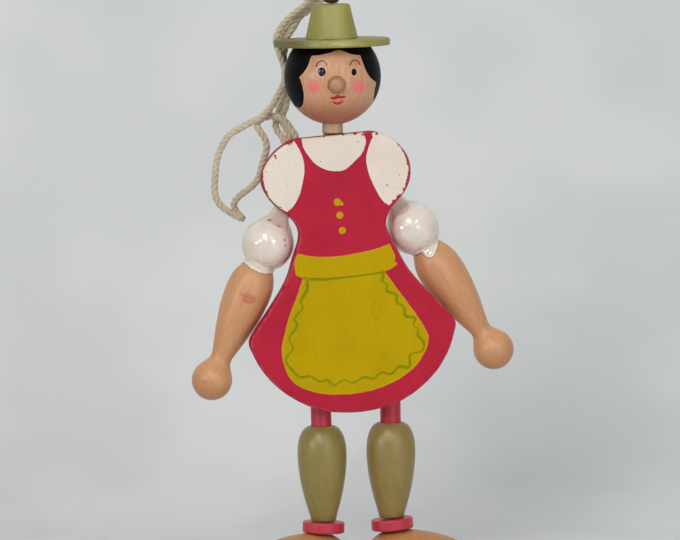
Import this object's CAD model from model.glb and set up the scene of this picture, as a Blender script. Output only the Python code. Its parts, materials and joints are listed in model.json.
# A painted wooden string puppet. It faces -Y and hangs down -Z from a control bar that lies
# along X; "left" pieces are on the -X side.
import json
import math
import bpy
import bmesh
import numpy as np
from mathutils import Matrix, Vector
from mathutils import noise as mnoise


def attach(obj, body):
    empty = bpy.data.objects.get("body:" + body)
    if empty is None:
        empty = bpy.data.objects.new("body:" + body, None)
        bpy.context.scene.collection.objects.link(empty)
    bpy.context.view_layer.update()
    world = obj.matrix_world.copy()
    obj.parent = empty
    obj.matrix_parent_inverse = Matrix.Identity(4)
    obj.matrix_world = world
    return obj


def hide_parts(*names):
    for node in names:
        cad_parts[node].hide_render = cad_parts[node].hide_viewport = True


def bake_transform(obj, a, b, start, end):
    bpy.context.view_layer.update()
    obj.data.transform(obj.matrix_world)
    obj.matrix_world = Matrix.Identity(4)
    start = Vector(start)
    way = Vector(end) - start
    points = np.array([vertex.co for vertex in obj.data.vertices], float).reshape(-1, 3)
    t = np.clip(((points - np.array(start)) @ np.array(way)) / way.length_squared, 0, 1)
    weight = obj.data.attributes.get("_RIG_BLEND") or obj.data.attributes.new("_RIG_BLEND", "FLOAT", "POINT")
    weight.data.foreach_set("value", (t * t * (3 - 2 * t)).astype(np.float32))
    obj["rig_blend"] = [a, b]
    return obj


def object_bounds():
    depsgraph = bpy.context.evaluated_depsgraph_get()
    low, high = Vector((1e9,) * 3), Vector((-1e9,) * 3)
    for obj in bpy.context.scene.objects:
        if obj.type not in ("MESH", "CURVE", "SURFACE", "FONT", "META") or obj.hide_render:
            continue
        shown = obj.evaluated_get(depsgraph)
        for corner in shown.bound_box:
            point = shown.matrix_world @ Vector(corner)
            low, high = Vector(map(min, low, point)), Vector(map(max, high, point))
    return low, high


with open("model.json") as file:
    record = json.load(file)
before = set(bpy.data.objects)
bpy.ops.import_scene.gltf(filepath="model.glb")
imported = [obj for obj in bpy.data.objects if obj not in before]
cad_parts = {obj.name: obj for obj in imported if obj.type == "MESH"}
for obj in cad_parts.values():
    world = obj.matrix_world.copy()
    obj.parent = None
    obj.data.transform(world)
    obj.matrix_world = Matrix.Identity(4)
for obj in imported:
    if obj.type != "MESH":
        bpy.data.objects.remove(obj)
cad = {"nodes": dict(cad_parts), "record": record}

CAD_BOX = [list(corner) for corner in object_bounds()]
MM = 0.001
NODES = cad["nodes"]
BODY_OF = {node: body for body, nodes in cad["record"]["behaviour"]["bodies"].items()
           for node in nodes}
SLOT_OF = {part["node"]: part["material_slot"] for part in cad["record"]["subparts"]}
SIDES = ("left", "right")
COLLECTION = bpy.context.scene.collection
rng = np.random.default_rng(11)
OFF = -6.0  # mask value well outside any painted shape


# ------------------------------------------------------------------ frames of the pieces
def turn(degrees, axis="Y"):
    return Matrix.Rotation(math.radians(degrees), 4, axis)


def shift(x, y, z):
    return Matrix.Translation((x, y, z))


HEAD_CENTRE = (0.0, 0.0, -86.3)
HEAD_RADIUS = 23.3
HEAD_FRAME = shift(*HEAD_CENTRE)
HAT_FRAME = HEAD_FRAME @ turn(-1.3)
TORSO_FRAME = shift(1.90, 0.0, -132.7) @ turn(-5.6)
SHOULDER = (23.2, 8.95, -8.7)  # in the torso frame, on the right
ARM_SPREAD = 28.2
HIP_ACROSS, HIP_BACK = 17.03, 10.65
ANKLE_DROP = 62.1
# side: direction along X, hip depth below the torso origin, lean and foot tip in degrees
LIMBS = {"left": (-1, 107.0, -1.4, 3.0), "right": (1, 109.0, -0.7, -4.8)}
ARM_FRAME, LEG_FRAME, FOOT_FRAME = {}, {}, {}
for side, (sign, hip_drop, lean, tip) in LIMBS.items():
    shoulder = shift(sign * SHOULDER[0], *SHOULDER[1:])
    ARM_FRAME[side] = TORSO_FRAME @ shoulder @ turn(-sign * ARM_SPREAD)
    hip = TORSO_FRAME @ Vector((sign * HIP_ACROSS, HIP_BACK, -hip_drop))
    LEG_FRAME[side] = shift(*hip) @ turn(lean)
    FOOT_FRAME[side] = LEG_FRAME[side] @ shift(0, 0, -ANKLE_DROP) @ turn(tip)


def local(points, frame):
    """World points in a frame's own axes."""
    inverse = np.array(frame.inverted())
    return points @ inverse[:3, :3].T + inverse[:3, 3]


# ------------------------------------------------------------------ mesh tools
def vertex_data(mesh, field):
    data = np.empty(len(mesh.vertices) * 3, np.float32)
    mesh.vertices.foreach_get(field, data)
    return data.reshape(-1, 3).astype(float)


def points_mm(mesh):
    return vertex_data(mesh, "co") * 1000.0


def put_coords(mesh, points):
    mesh.vertices.foreach_set("co", points.astype(np.float32).ravel())
    mesh.update()


def write_attributes(mesh, **fields):
    """One point attribute a name: a float each, or a vector for three columns."""
    for name, values in fields.items():
        values = np.asarray(values, np.float32)
        kind, key = ("FLOAT", "value") if values.ndim == 1 else ("FLOAT_VECTOR", "vector")
        mesh.attributes.new(name, kind, "POINT").data.foreach_set(key, values.ravel())


def ease(mesh, rounds):
    """Smooth with steps that shrink and swell in turn, so the size holds."""
    count = len(mesh.vertices)
    ends = np.empty(len(mesh.edges) * 2, np.int32)
    mesh.edges.foreach_get("vertices", ends)
    first, second = ends.reshape(-1, 2).T
    degree = np.maximum(np.bincount(ends, minlength=count), 1)[:, None]
    points = vertex_data(mesh, "co")
    for i in range(rounds * 2):
        factor = 0.5 if i % 2 == 0 else -0.52
        total = np.stack([np.bincount(first, points[second, axis], count)
                          + np.bincount(second, points[first, axis], count)
                          for axis in range(3)], 1)
        points = points + factor * (total / degree - points)
    put_coords(mesh, points)


def shade_smooth(mesh):
    mesh.polygons.foreach_set("use_smooth", np.ones(len(mesh.polygons), bool))
    mesh.update()


def skin(node, voxel, rounds, material, frame=None, refine=None):
    """A fine skin over a CAD node, its edges eased the way sanded, painted wood is."""
    piece = bpy.data.objects.new(node + "_skin", NODES[node].data.copy())
    piece.data.materials.clear()
    COLLECTION.objects.link(piece)
    work = bmesh.new()
    work.from_mesh(piece.data)
    bmesh.ops.remove_doubles(work, verts=work.verts, dist=1e-6)
    work.to_mesh(piece.data)
    work.free()
    remesh = piece.modifiers.new("skin", "REMESH")
    remesh.mode = "VOXEL"
    remesh.voxel_size = voxel * 1.0 * MM
    remesh.adaptivity = 0.0
    graph = bpy.context.evaluated_depsgraph_get()
    mesh = bpy.data.meshes.new_from_object(piece.evaluated_get(graph))
    mesh.name = node + "_skin"
    piece.modifiers.clear()
    piece.data = mesh
    for field in list(mesh.attributes):
        if not field.is_internal and field.name not in ("position", "sharp_face",
                                                        "material_index"):
            # Blender refuses to remove attributes that a mesh requires.
            try:
                mesh.attributes.remove(field)
            except RuntimeError:
                pass
    ease(mesh, rounds)
    if refine:
        work = bmesh.new()
        work.from_mesh(mesh)
        for _ in range(2):
            faces = [face for face in work.faces if refine(face.calc_center_median() * 1000.0)]
            edges = list({edge for face in faces for edge in face.edges})
            bmesh.ops.subdivide_edges(work, edges=edges, cuts=1, use_grid_fill=True)
        work.to_mesh(mesh)
        work.free()
    shade_smooth(mesh)
    if frame is not None:
        write_attributes(mesh, loc=local(points_mm(mesh), frame))
    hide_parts(node)
    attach(piece, BODY_OF[node])
    mesh.materials.append(material)
    return mesh


# ------------------------------------------------------------------ outlines and masks
def spline(points, steps=8, closed=False):
    """Catmull-Rom curve through the points."""
    points = np.array(points, float)
    if closed:
        padded = np.vstack([points[-1:], points, points[:2]])
    else:
        padded = np.vstack([2 * points[:1] - points[1:2], points,
                            2 * points[-1:] - points[-2:-1]])
    curve = []
    for i in range(len(padded) - 3):
        before, start, end, after = padded[i:i + 4]
        for t in [k / steps for k in range(steps)]:
            curve.append(0.5 * (2 * start + (end - before) * t
                                + (2 * before - 5 * start + 4 * end - after) * t * t
                                + (-before + 3 * start - 3 * end + after) * t ** 3))
    if not closed:
        curve.append(points[-1])
    return np.array(curve)


def line_distance(points, line, closed=False):
    """Distance to a polyline, and where along it (0..1)."""
    starts = np.array(line, float)
    ends = np.roll(starts, -1, 0)
    if not closed:
        starts, ends = starts[:-1], ends[:-1]
    nearest = np.full(len(points), 1e18)
    along = np.zeros(len(points))
    for i, (start, end) in enumerate(zip(starts, ends)):
        edge = end - start
        offset = points - start
        t = np.clip((offset @ edge) / max(edge @ edge, 1e-12), 0, 1)
        square = ((offset - t[:, None] * edge) ** 2).sum(1)
        along = np.where(square < nearest, (i + t) / len(starts), along)
        nearest = np.minimum(square, nearest)
    return np.sqrt(nearest), along


def outline_depth(points, outline):
    """Signed distance to a closed outline, positive inside."""
    distance, _ = line_distance(points, outline, True)
    starts = np.array(outline, float)
    inside = np.zeros(len(points), bool)
    x, y = points[:, 0], points[:, 1]
    for start, end in zip(starts, np.roll(starts, -1, 0)):
        if start[1] == end[1]:
            continue
        inside ^= ((start[1] <= y) != (end[1] <= y)) & (
            x < (end[0] - start[0]) * (y - start[1]) / (end[1] - start[1]) + start[0])
    return np.where(inside, distance, -distance)


def fuzz(points, scale, octaves, seed):
    return np.array([mnoise.fractal(Vector((x * scale + seed, y * scale - seed, seed)),
                                    1.0, 2.1, octaves) for x, y in points])


def blobs(points, spots, ragged, seed):
    """Signed distance to ragged chips; a spot is a centre and a radius."""
    depth = np.full(len(points), -9.0)
    for k, (*centre, radius) in enumerate(spots):
        distance = np.linalg.norm(points - np.array(centre), axis=1)
        near = distance < radius * 3 + 1
        if near.any():
            wobble = np.array([mnoise.noise(Vector((
                p[0] * 1.9 + k + seed, p[1] * 1.9, (p[2] if len(p) > 2 else 0) * 1.9)))
                for p in points[near]])
            depth[near] = np.maximum(depth[near],
                                     radius - distance[near] + ragged * radius * wobble)
    return depth


def on_part(part, values):
    """Mask values on part of the vertices, OFF elsewhere."""
    mask = np.full(len(part), OFF)
    mask[part] = values
    return mask


# ------------------------------------------------------------------ materials
def rgb(*levels):
    """An opaque colour from 0..255 sRGB levels."""
    levels = [level / 255.0 for level in levels]
    return tuple(v / 12.92 if v <= 0.04045 else ((v + 0.055) / 1.055) ** 2.4
                 for v in levels) + (1.0,)


class Shader:
    """Builds one material. Textures lie in mm, in the piece's own frame or the object's."""

    def __init__(self, name, in_object=False):
        self.material = bpy.data.materials.new(name)
        self.material.use_nodes = True
        self.tree = self.material.node_tree
        self.surface = self.tree.nodes["Principled BSDF"]
        if in_object:
            metres = self.node("TexCoord").outputs["Object"]
            self.place = self.vector("MULTIPLY", metres, (1000.0, 1000.0, 1000.0)).outputs[0]
        else:
            self.place = self.node("Attribute", attribute_name="loc").outputs["Vector"]

    def put(self, socket, value):
        if isinstance(value, bpy.types.NodeSocket):
            self.tree.links.new(value, socket)
        else:
            socket.default_value = value

    def node(self, kind, inputs=None, **settings):
        node = self.tree.nodes.new("ShaderNode" + kind)
        for name, value in settings.items():
            setattr(node, name, value)
        for name, value in (inputs or {}).items():
            self.put(node.inputs[name], value)
        return node

    def field(self, name):
        """A mask written on the mesh."""
        return self.node("Attribute", attribute_name=name).outputs["Fac"]

    def axes(self):
        return self.node("SeparateXYZ", {0: self.place}).outputs

    def vector(self, operation, *inputs):
        return self.node("VectorMath", dict(enumerate(inputs)), operation=operation)

    def math(self, operation, first, second=0.0, third=None):
        inputs = {0: first, 1: second}
        if third is not None:
            inputs[2] = third
        return self.node("Math", inputs, operation=operation).outputs[0]

    def mul(self, product, *factors):
        for factor in factors:
            product = self.math("MULTIPLY", product, factor)
        return product

    def add(self, first, second):
        return self.math("ADD", first, second)

    def scaled(self, value, by, plus):
        return self.math("MULTIPLY_ADD", value, by, plus)

    def sine(self, value):
        return self.math("SINE", value)

    def radius(self, *sides):
        first, second = [self.math("POWER", length, 2.0) for length in sides]
        return self.math("SQRT", self.add(first, second))

    def noise(self, scale=1.0, detail=3.0, rough=0.55, warp=0.0, stretch=None):
        """Noise at a scale, or with a scale for each of x, y and z."""
        place = self.place
        if stretch:
            place = self.node("Mapping", {"Vector": place, "Scale": stretch}).outputs[0]
        return self.node("TexNoise", {"Vector": place, "Scale": scale, "Detail": detail,
                                      "Roughness": rough, "Distortion": warp}).outputs[0]

    def streaks(self, fine, along, warp=0.4):
        """Broad grain running along the piece's own Z."""
        return self.noise(stretch=(fine, fine, along * fine), detail=4.0, rough=0.6, warp=warp)

    def pores(self, fine, along):
        """Narrow grain between the streaks."""
        return self.noise(stretch=(fine * 3.3, fine * 3.3, along * 4),
                          detail=2.0, rough=0.6, warp=0.2)

    def step(self, value, span, out=(0.0, 1.0)):
        """Smooth rise from out[0] to out[1] as value crosses the span."""
        return self.node("MapRange", {0: value, 1: span[0], 2: span[1], 3: out[0], 4: out[1]},
                         interpolation_type="SMOOTHSTEP", clamp=True).outputs[0]

    def tint(self, under, over, mask, span=None, out=(0.0, 1.0), amount=None):
        """Lay one colour over another by a mask, stepped over span and scaled by amount."""
        if span:
            mask = self.step(mask, span, out)
        if amount is not None:
            mask = self.mul(mask, amount)
        return self.node("Mix", {0: mask, 6: under, 7: over}, data_type="RGBA").outputs[2]

    def blend(self, mask, off, on):
        return self.node("Mix", {0: mask, 2: off, 3: on}, data_type="FLOAT").outputs[0]

    def relief(self, *layers):
        """Height from (mask, mm) layers; a negative mm cuts in."""
        height = None
        for mask, rise in layers:
            part = self.mul(mask, abs(rise))
            if height is None:
                height = part
            else:
                height = self.math("SUBTRACT" if rise < 0 else "ADD", height, part)
        return height

    def finish(self, colour, rough, height=None, coat=0.0, coat_rough=0.08, metallic=0.0,
               spec=0.5, sheen=0.0):
        inputs = {"Base Color": colour, "Roughness": rough, "Metallic": metallic,
                  "Specular IOR Level": spec, "Coat Weight": coat, "Coat Roughness": coat_rough}
        if sheen:
            inputs.update({"Sheen Weight": sheen, "Sheen Roughness": 0.6})
        if height is not None:
            bump = self.node("Bump", {"Strength": 1.0, "Distance": MM, "Height": height})
            inputs.update({"Normal": bump.outputs[0], "Coat Normal": bump.outputs[0]})
        for name, value in inputs.items():
            self.put(self.surface.inputs[name], value)
        return self.material


def bare_wood(name, light, mid, dark, fine, along, rough, coat, extra=None):
    """Flecked wood; extra(mat, colour) adds a piece's own marks."""
    mat = Shader(name)
    pores = mat.pores(fine, along)
    colour = mat.tint(light, mid, mat.streaks(fine, along), span=(0.36, 0.66))
    colour = mat.tint(colour, dark, pores, span=(0.52, 0.78), amount=0.45)
    cloud = mat.noise(scale=0.055, detail=2.0, rough=0.5)
    colour = mat.tint(colour, mid, cloud, span=(0.4, 0.7), amount=0.3)
    flecks = mat.noise(stretch=(5.0, 5.0, 0.9), detail=1.0, rough=0.5)
    flecks = mat.step(flecks, span=(0.66, 0.74))
    colour = mat.tint(colour, dark, flecks, amount=0.32)
    height = mat.relief((pores, 0.02), (flecks, -0.02))
    if extra:
        colour = extra(mat, colour)
    return mat.finish(colour, mat.scaled(pores, by=0.14, plus=rough - 0.05), height,
                      coat=coat, coat_rough=0.18)


def painted(name, base, dark, light, rough, coat, fine, along, streak, extra=None):
    """Thin paint with the grain showing; extra(mat, colour, height) adds a piece's own marks."""
    mat = Shader(name)
    streaks = mat.streaks(fine, along)
    pores = mat.pores(fine, along)
    cloud = mat.noise(scale=0.09)
    colour = mat.tint(base, dark, streaks, span=(0.42, 0.68), amount=streak)
    colour = mat.tint(colour, light, pores, span=(0.55, 0.8), amount=streak * 0.8)
    colour = mat.tint(colour, dark, cloud, span=(0.35, 0.75), amount=0.28)
    height = mat.relief((streaks, 0.03), (pores, 0.02))
    if extra:
        colour, height = extra(mat, colour, height)
    return mat.finish(colour, mat.scaled(cloud, by=0.16, plus=rough - 0.08), height,
                      coat=coat, coat_rough=0.15)


# ------------------------------------------------------------------ torso board
# All torso outlines are in the torso frame, columns (across, down).
# Half outline of the board, columns (down, half width).
HALF_BOARD = [
    (-16, 24.2), (-13, 28.9), (-9, 32.6), (-5, 35.1), (0, 36.3), (4, 35.9), (8, 34.5), (11, 32.8),
    (14, 30.3), (17, 27.1), (20, 24.2), (23, 22.3), (26.5, 21.2), (30, 21.5), (35, 23.4),
    (40, 25.6), (46, 28), (52, 31.3), (58, 35.7), (64, 40.4), (70, 45.4), (74.5, 48.9),
    (78.2, 50.2), (81.5, 49.6), (85, 48.3), (90, 46.2), (95, 43.2), (100, 39.3), (105, 33.9),
    (109, 28.3), (112, 22.8), (114.6, 15.5), (116, 7.5)]


def flank(bulge):
    """One side of the board, widened by a bulge centred 1 mm above the origin."""
    return [(17.6, -18.2), (21.2, -17.5)] + [
        (half + bulge * math.exp(-((down + 1.0) / 9.0) ** 2), down) for down, half in HALF_BOARD]


BOARD = flank(-0.8) + [(0.0, 116.5)] + [(-across, down) for across, down in reversed(flank(0.6))]

BLOUSE = np.vstack([
    spline([(-15.51, -18.44), (-15.81, -16.87), (-15.51, -14.03), (-13.7, -10.21),
            (-10.29, -5.3), (-5.39, -2.07), (-0.93, -0.92), (3.68, -1.22), (8.55, -4.63),
            (12.5, -8.1), (14.52, -11.81), (15.09, -14.61), (14.32, -17.26)]),
    [(13.9, -18.3), (8.59, -18.35), (0.33, -18.5), (-7.91, -18.8), (-12.75, -18.9)]])
SLEEVE_LEFT = np.vstack([
    spline([(-19.61, -17.32), (-17.93, -14.19), (-16.62, -10.66), (-15.89, -6.71), (-16.1, -2.13),
            (-17.49, 3.05), (-19.67, 8.88), (-23.08, 13.85), (-26.48, 16.25)])[:-1],
    spline([(-26.48, 16.25), (-30.38, 13.42), (-33.58, 9.39), (-35.62, 3.95), (-36.14, -2.02),
            (-34.93, -7.36), (-31.43, -11.39), (-26.24, -15.16), (-22.2, -16.72),
            (-19.61, -17.32)])[:-1]])
SLEEVE_RIGHT = np.vstack([
    spline([(18.44, -15.47), (16.04, -10.88), (14.39, -5.96), (14.45, -1.1), (15.53, 4.35),
            (18.59, 12.44), (21.12, 16.59), (23.36, 18.19)])[:-1],
    spline([(23.36, 18.19), (26.19, 15.67), (30.45, 12.62), (32.33, 8.3), (34.11, 2.62),
            (33.8, -2.81), (31.9, -8.5), (28.2, -14), (24.5, -17), (21.4, -17.5), (18.5, -17.2),
            (18.44, -15.47)])[:-1]])
# (across, down, radius)
BUTTONS = [(-1.57, 14.04, 1.62), (-1.07, 20.4, 1.5), (-0.53, 27.89, 1.5)]
WAIST = np.vstack([
    spline([(-22.93, 37.01), (-16.92, 38.82), (-9.85, 39.86), (-2.43, 40.22), (5.73, 39.68),
            (13.83, 38.7), (21.63, 36.91)])[:-1],
    [(21.63, 36.91), (22.39, 39.13), (23.55, 42.27), (23.29, 44.97), (24.28, 46.92),
     (20.65, 48.97), (18.02, 49.37), (11.79, 49.67), (2, 49.88), (-8.73, 49.8),
     (-21.57, 48.42), (-24.85, 47.1), (-25.07, 44.45), (-25.03, 41.06), (-23.98, 38.35)]])
WAIST_LINE = spline([(-21.51, 48.82), (-17.5, 49.73), (-10.75, 50.46), (-1.49, 50.58),
                     (8.29, 50.41), (17.62, 50.01)])
APRON = spline([
    (-21.6, 48.22), (-22.96, 51.67), (-24.6, 55.48), (-26.64, 59.83), (-28.98, 64.29),
    (-31.24, 69.45), (-33.12, 74.69), (-34.47, 78.44), (-35.28, 82.24), (-35.35, 86.32),
    (-34.65, 90.1), (-33.86, 93.5), (-32.55, 96.51), (-30.41, 99.09), (-27.61, 101.34),
    (-23.75, 103.28), (-19.36, 104.78), (-14.26, 106.08), (-8.65, 106.74), (-2.71, 106.96),
    (3.04, 106.66), (9.15, 105.72), (14.99, 104.07), (20.69, 101.91), (25.68, 98.99),
    (29.61, 95.81), (32.58, 91.98), (34.61, 88.79), (35.83, 85.31), (35.85, 82.58),
    (34.94, 79.79), (33.08, 75.69), (30.69, 71.53), (28.05, 66.96), (25.31, 62.42),
    (22.53, 57.83), (19.94, 53.32), (17.61, 49.57)], 4)
# The wavy green line just inside the apron's edge.
WAVY_TRIM = spline([
    (-20.19, 49.78), (-20.25, 54.39), (-23.82, 59.45), (-23.48, 63.38), (-27.74, 67.54),
    (-26.96, 71.52), (-31.25, 76.89), (-29.95, 82.04), (-34.1, 87.04), (-31.71, 91.93),
    (-27.84, 96.25), (-23.22, 96.37), (-18.81, 99.19), (-14.9, 99.23), (-11.71, 102.06),
    (-7.22, 100.07), (-2.69, 101.74), (2.93, 99.77), (7.52, 100.91), (11.69, 98.24),
    (16.22, 99.52), (20.43, 96.51), (25.47, 97.06), (26.42, 91.31), (32.38, 90.01),
    (33.57, 85.84), (31.15, 82.5), (31.45, 79.42), (29.39, 76.85), (30.47, 73.85),
    (25.93, 72.19), (25.56, 67.91), (22.3, 65.21), (22.64, 61.74), (18.18, 59.31),
    (18.48, 56.23), (16, 54.07), (17.15, 50.3)], 6)
# Brown specks, and chips out of the white paint: (across, down, radius).
SPECKS = [(-25.12, 3.5, 0.32), (23.13, 8.45, 0.5), (29.61, 4.13, 0.38), (28.06, 10.09, 0.42),
          (-7.89, -6.36, 0.36), (11.11, -13.82, 0.45), (-14.3, -15.2, 0.35),
          (-10.48, -9.29, 0.25), (-26, -1.5, 0.2), (30.8, 9.4, 0.3)]
CHIPS = [(-29.4, -11.4, 0.6), (-29.1, -10, 0.45), (-29, -8.6, 0.3), (-21.9, -15.9, 0.5),
         (-20.6, -16.2, 0.4), (-19.2, 15.6, 0.3), (-28.6, 15.2, 0.6), (-29, 13.8, 0.4),
         (-34.4, -4.2, 0.35), (-35, 5.5, 0.4), (30.9, -10.6, 0.7), (33, -7.1, 0.75),
         (34.2, -1.2, 0.6), (33.4, 7, 0.65), (31.4, 11.4, 0.8), (28.1, 14.4, 0.9),
         (25.6, 16.4, 0.8), (26.6, -15.4, 0.7), (10.2, -17.9, 0.7), (4.5, -18.1, 0.55),
         (-4.8, -18.4, 0.7), (13.6, -16.9, 0.5), (20.6, -16.8, 0.6)]


def mask_board(mesh):
    """Signed distances to the shapes painted on the board's front."""
    points = local(points_mm(mesh), TORSO_FRAME)
    flat = np.stack([points[:, 0], -points[:, 2]], 1)
    front = points[:, 1] < -3.4
    face = flat[front]
    # White edges grow more ragged within 5 mm of the board's edge.
    near_edge = np.clip((5.0 - outline_depth(face, BOARD)) / 3.5, 0, 1)
    white = np.maximum.reduce([outline_depth(face, shape)
                               for shape in (SLEEVE_LEFT, SLEEVE_RIGHT, BLOUSE)])
    white = white + fuzz(face, scale=0.75, octaves=4, seed=3.0) * (0.07 + 0.5 * near_edge)
    white = np.minimum(white, -blobs(face, CHIPS, ragged=0.9, seed=4.0))
    yellow = np.maximum(outline_depth(face, WAIST), outline_depth(face, APRON))
    yellow = yellow + fuzz(face, scale=0.5, octaves=2, seed=9.0) * 0.22
    for k, (across, down, radius) in enumerate(BUTTONS):
        button = radius - np.hypot(face[:, 0] - across, face[:, 1] - down)
        yellow = np.maximum(yellow, button + 0.12 * fuzz(face, scale=0.9, octaves=1, seed=k))
    # A short dash over the top button.
    distance, _ = line_distance(face, [(-0.9, 13.6), (0.55, 15.2)])
    yellow = np.maximum(yellow, 0.55 - distance)
    # Green lines: half width, with its waver along the line, less the distance.
    distance, along = line_distance(face, WAVY_TRIM)
    half = 0.60 + 0.13 * np.sin(along * 57.0) + 0.1 * np.sin(along * 23.0 + 1.0)
    green = half - distance
    distance, along = line_distance(face, WAIST_LINE)
    green = np.maximum(green, 0.66 + 0.16 * np.sin(along * 6.0) - distance)
    distance, _ = line_distance(face, [(17.2, 49.6), (17.0, 52.2), (16.2, 54.0)])
    green = np.maximum(green, 0.75 - distance)
    green = green + 0.1 * fuzz(face, scale=0.9, octaves=2, seed=5.0)
    write_attributes(mesh, white=on_part(front, white), yellow=on_part(front, yellow),
                     green=on_part(front, green),
                     speck=on_part(front, blobs(face, SPECKS, ragged=0.7, seed=1.0)),
                     rim=outline_depth(flat, BOARD))


def board_paint():
    mat = Shader("board_paint")
    streaks = mat.streaks(fine=1.5, along=0.035, warp=0.5)
    fine = mat.noise(stretch=(6.5, 6.5, 0.07), detail=2.0, rough=0.5)
    cloud = mat.noise(scale=0.05)
    # Red ground, worn pale just inside the rim.
    red = mat.tint(rgb(190, 39, 62), rgb(179, 36, 58), cloud, span=(0.35, 0.7))
    red = mat.tint(red, rgb(162, 31, 52), streaks, span=(0.45, 0.72), amount=0.28)
    red = mat.tint(red, rgb(202, 56, 78), fine, span=(0.55, 0.75), amount=0.22)
    rim = mat.field("rim")
    wear = mat.mul(mat.step(rim, span=(1.2, 0.5)), mat.step(rim, span=(0.02, 0.3)),
                   mat.step(mat.noise(scale=0.3), span=(0.36, 0.6)))
    red = mat.tint(red, rgb(212, 108, 124), wear, amount=0.42)
    red = mat.tint(red, rgb(120, 18, 34), rim, span=(0.15, -0.05), amount=0.35)
    # Mustard apron, with the rings of a wood knot showing through.
    yellow = mat.field("yellow")
    mustard = mat.tint(rgb(194, 163, 0), rgb(185, 156, 0), cloud, span=(0.35, 0.72))
    mustard = mat.tint(mustard, rgb(190, 144, 8), streaks, span=(0.44, 0.7), amount=0.42)
    mustard = mat.tint(mustard, rgb(164, 138, 8), fine, span=(0.5, 0.72), amount=0.30)
    from_knot = mat.vector("SUBTRACT", mat.place, (11.96, 0.0, -67.9)).outputs[0]
    from_knot = mat.vector("MULTIPLY", from_knot, (1.0, 0.0, 0.45)).outputs[0]
    reach = mat.vector("LENGTH", from_knot).outputs["Value"]
    rings = mat.mul(mat.sine(mat.scaled(reach, by=2.6, plus=mat.mul(cloud, 6.0))),
                    mat.step(reach, span=(6.5, 1.0)))
    mustard = mat.tint(mustard, rgb(168, 122, 12), rings, span=(0.2, 0.9), amount=0.22)
    mustard = mat.tint(mustard, rgb(200, 172, 20), yellow, span=(1.1, 0.1), amount=0.25)
    on_yellow = mat.step(yellow, span=(-0.07, 0.09))
    colour = mat.tint(red, rgb(222, 134, 58), yellow, span=(-0.42, -0.08), amount=0.8)
    colour = mat.tint(colour, mustard, on_yellow)
    # Green trim, kept to the mustard.
    green = mat.math("MINIMUM", mat.field("green"), mat.add(yellow, 0.4))
    on_green = mat.step(green, span=(-0.08, 0.1))
    trim = mat.tint(rgb(118, 126, 0), rgb(138, 142, 4), mat.noise(scale=0.5, detail=2.0),
                    span=(0.35, 0.7))
    trim = mat.tint(trim, rgb(146, 152, 12), green, span=(0.1, 0.5), out=(0.35, 0.0))
    colour = mat.tint(colour, trim, on_green, amount=0.86)
    # White blouse and sleeves, with a dark line round them.
    white = mat.field("white")
    on_white = mat.step(white, span=(-0.06, 0.06))
    cream = mat.tint(rgb(237, 223, 209), rgb(232, 217, 202), cloud, span=(0.35, 0.7))
    cream = mat.tint(cream, rgb(214, 202, 186), fine, span=(0.5, 0.72), amount=0.4)
    cream = mat.tint(cream, rgb(246, 238, 230), white, span=(0.5, 0.1), out=(0.0, 0.5))
    colour = mat.tint(colour, rgb(112, 16, 34), white, span=(-0.34, -0.04), amount=0.42)
    colour = mat.tint(colour, cream, on_white)
    speck = mat.step(mat.field("speck"), span=(-0.02, 0.1))
    colour = mat.tint(colour, rgb(104, 62, 52), speck, amount=0.85)
    # The white stands proudest, with a bead along its edge.
    bead = mat.mul(mat.step(white, span=(0.0, 0.22)), mat.step(white, span=(0.75, 0.3)))
    height = mat.relief((on_white, 0.10), (bead, 0.07), (on_yellow, 0.05), (on_green, 0.05),
                        (speck, -0.10), (fine, 0.022), (streaks, 0.05),
                        (mat.noise(scale=1.4, detail=2.0), 0.012))
    rough = mat.blend(on_white, off=mat.blend(on_yellow, off=0.40, on=0.46), on=0.34)
    return mat.finish(colour, mat.add(rough, mat.mul(fine, 0.08)), height,
                      coat=mat.blend(on_white, off=0.0, on=0.2), coat_rough=0.24, spec=0.05)


mask_board(skin("torso_board", 0.5, 4, board_paint(), TORSO_FRAME))


# ------------------------------------------------------------------ head
# Face shapes are in the head frame, columns (x, z). The hairline runs from the left temple
# over the brow to the right; each arc starts where the last one ends.
HAIRLINE = [
    [(-17.93, -15.29), (-16.68, -14.99), (-15.7, -13.08), (-15.6, -9.48), (-16.04, -6.02),
     (-17, -2.13), (-17.87, 0.18)],
    [(-17.87, 0.18), (-15.56, 3.03), (-13.9, 6.02), (-12.79, 9.01), (-12.07, 10.48)],
    [(-12.07, 10.48), (-8.85, 10.81), (-5.06, 11.6), (-2.07, 12.54), (0.76, 13.18),
     (3.52, 12.32), (7.48, 11.09), (11.1, 10.68)],
    [(11.1, 10.68), (12.28, 7.21), (13.78, 3.38), (16.17, -0.15), (19.54, -2.71)],
    [(19.54, -2.71), (18.91, -6.37), (18.66, -9.88), (18.93, -12.06), (17.27, -14.75)]]
# Closes the face outline under the chin, unrolled.
UNDER_CHIN = [(17, -22), (8, -31), (-8, -31), (-17, -24)]
UPPER_LIP = [(-4.02, -9.5), (-2.96, -9.1), (-1.87, -9.05), (-1.04, -8.33), (0.24, -8.04),
             (1.34, -8.73), (2.65, -8.64), (3.98, -8.81), (3.99, -8.95), (2.9, -9.72),
             (1.3, -9.8), (-0.19, -9.89), (-1.13, -10.28), (-2.22, -10.37), (-3.15, -9.93)]
LOWER_LIP = [(-2.36, -11.16), (-1.45, -11.95), (0.02, -12.35), (1.43, -11.86), (2.62, -10.7)]
MOUTH_LINE = [(-3.9, -9.55), (-1.6, -9.75), (0.2, -9.55), (3.9, -8.95)]
BROWS = [[(-10.38, 5.66), (-9.45, 7.38), (-7.34, 8.34), (-6.13, 7.41), (-5.42, 6.38)],
         [(5.75, 6.18), (6.82, 7.77), (8.17, 8.49), (9.77, 7.89), (10.73, 6.41)]]
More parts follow.
